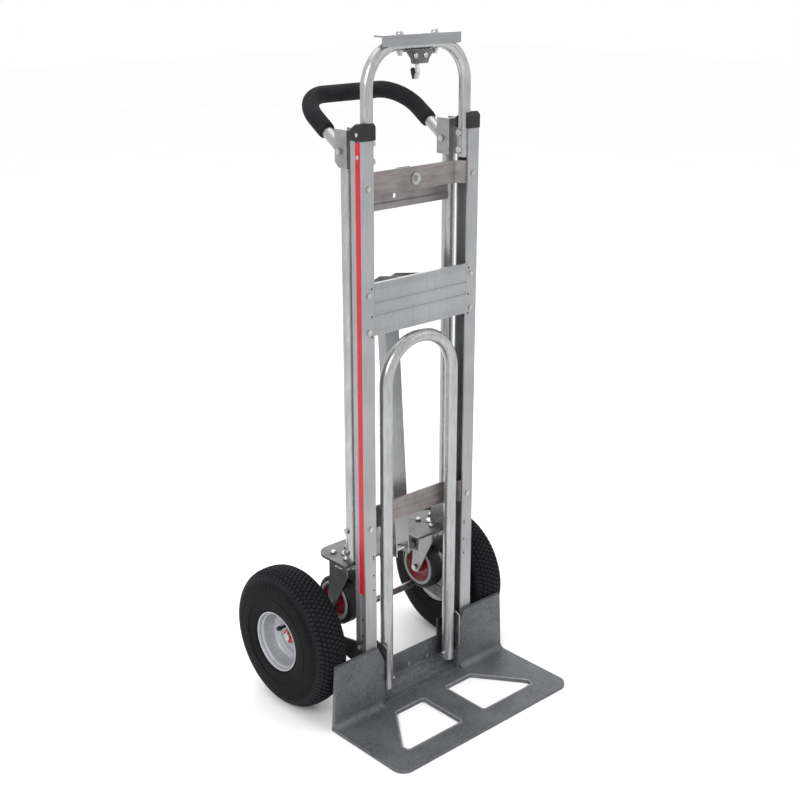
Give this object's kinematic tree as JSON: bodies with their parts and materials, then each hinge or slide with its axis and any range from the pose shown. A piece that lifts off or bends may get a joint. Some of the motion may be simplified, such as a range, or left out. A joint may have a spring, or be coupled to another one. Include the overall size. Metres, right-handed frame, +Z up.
{
  "type": "convertible hand truck",
  "caption": "Upright aluminium hand truck with pneumatic wheels, cast nose plate, folding nose hoop and a swing-down handle frame with casters for platform use.",
  "frame": {"origin": "underside of the nose plate at floor level, middle of the width, in the plane of the side rails' front faces", "axes": "+X right seen from the load side, +Y to the back where the wheels are, +Z up"},
  "size_m": [0.52, 0.495, 1.317],
  "materials": {
    "rail": "satin extruded",
    "strap": "mill, mottled",
    "tube": "satin drawn",
    "cast": "rough cast grey",
    "red_strip": "gloss",
    "black_plastic": "matte",
    "foam": "matte foam",
    "zinc": "zinc plated",
    "dark_steel": "plain",
    "tyre": "matte",
    "rim_paint": "silver paint",
    "caster_rubber": "matte",
    "red_core": "satin",
    "red_washer": "satin"
  },
  "bodies": {
    "frame": {"left_side_rail": "rail", "right_side_rail": "rail", "trim_strips": "red_strip", "rail_caps": "black_plastic", "upper_crossbar": "strap", "lower_crossbar": "strap", "middle_crossbar_panel": "rail", "crossbar_rivets": "zinc", "top_loop_tube": "tube", "top_angle_bar": "rail", "angle_bar_bolts": "zinc", "top_loop_bolts": "zinc", "hook_bracket": "dark_steel", "hook_pin": "zinc", "nose_plate": "cast", "heel_rivets": "zinc", "nose_plate_bolts": "zinc", "extension_brackets": "dark_steel", "extension_pivot_bolts": "zinc", "axle_brackets": "dark_steel", "axle": "zinc", "axle_bracket_bolts": "zinc", "axle_washers": "red_washer", "cotter_pins": "zinc", "strut_brackets": "dark_steel", "strut_upper_pin": "zinc", "locating_stud": "zinc"},
    "hook": {"latch_hook": "zinc", "hook_tip": "black_plastic"},
    "extension": {"nose_extension_hoop": "tube"},
    "left_wheel": {"left_tyre": "tyre", "left_rim": "rim_paint", "left_hub": "rim_paint", "left_valve_stem": "caster_rubber"},
    "right_wheel": {"right_tyre": "tyre", "right_rim": "rim_paint", "right_hub": "rim_paint", "right_valve_stem": "caster_rubber"},
    "strut": {"strut_channel": "rail"},
    "handle": {"left_handle_tube": "tube", "right_handle_tube": "tube", "grip_brackets": "zinc", "deck_angles": "zinc", "handle_cross_channel": "rail", "grip_tube": "tube", "foam_grip": "foam", "caster_deck_plate": "dark_steel", "strut_lower_rod": "zinc", "torsion_springs": "dark_steel", "deck_angle_bolts": "zinc", "grip_bracket_bolts": "zinc", "caster_top_plates": "zinc"},
    "left_caster_swivel": {"left_caster_fork": "zinc", "left_caster_axle_bolt": "zinc"},
    "left_caster_wheel": {"left_caster_tyre": "caster_rubber", "left_caster_core": "red_core"},
    "right_caster_swivel": {"right_caster_fork": "zinc", "right_caster_axle_bolt": "zinc"},
    "right_caster_wheel": {"right_caster_tyre": "caster_rubber", "right_caster_core": "red_core"}
  },
  "joints": [
    {"name": "left_wheel_spin", "type": "hinge", "parent": "frame", "child": "left_wheel", "pos_m": [-0.219, 0.145, 0.145], "axis": [1, 0, 0], "continuous": true},
    {"name": "right_wheel_spin", "type": "hinge", "parent": "frame", "child": "right_wheel", "pos_m": [0.219, 0.145, 0.145], "axis": [1, 0, 0], "continuous": true},
    {"name": "strut_swing", "type": "hinge", "parent": "frame", "child": "strut", "pos_m": [0, 0.098, 0.82], "axis": [1, 0, 0], "range_deg": [0, 185.6]},
    {"name": "handle_fold", "type": "hinge", "parent": "strut", "child": "handle", "pos_m": [0, 0.062, 0.296], "axis": [1, 0, 0], "range_deg": [-95.7, 0]},
    {"name": "nose_extension_fold", "type": "hinge", "parent": "frame", "child": "extension", "pos_m": [0, 0.005, 0.0465], "axis": [1, 0, 0], "range_deg": [0, 88]},
    {"name": "hook_swing", "type": "hinge", "parent": "frame", "child": "hook", "pos_m": [0, 0.0165, 1.265], "axis": [1, 0, 0], "range_deg": [-10, 60]},
    {"name": "left_caster_swivel_turn", "type": "hinge", "parent": "handle", "child": "left_caster_swivel", "pos_m": [-0.116, 0.089, 0.25], "axis": [0, 0, 1], "range_deg": [-20, 20]},
    {"name": "left_caster_wheel_spin", "type": "hinge", "parent": "left_caster_swivel", "child": "left_caster_wheel", "pos_m": [-0.116, 0.115, 0.203], "axis": [1, 0, 0], "continuous": true},
    {"name": "right_caster_swivel_turn", "type": "hinge", "parent": "handle", "child": "right_caster_swivel", "pos_m": [0.116, 0.089, 0.25], "axis": [0, 0, 1], "range_deg": [-20, 20]},
    {"name": "right_caster_wheel_spin", "type": "hinge", "parent": "right_caster_swivel", "child": "right_caster_wheel", "pos_m": [0.116, 0.115, 0.203], "axis": [1, 0, 0], "continuous": true}
  ],
  "couplings": [
    {"joint": "handle_fold", "follows": "strut_swing", "ratio": -0.5153}
  ]
}
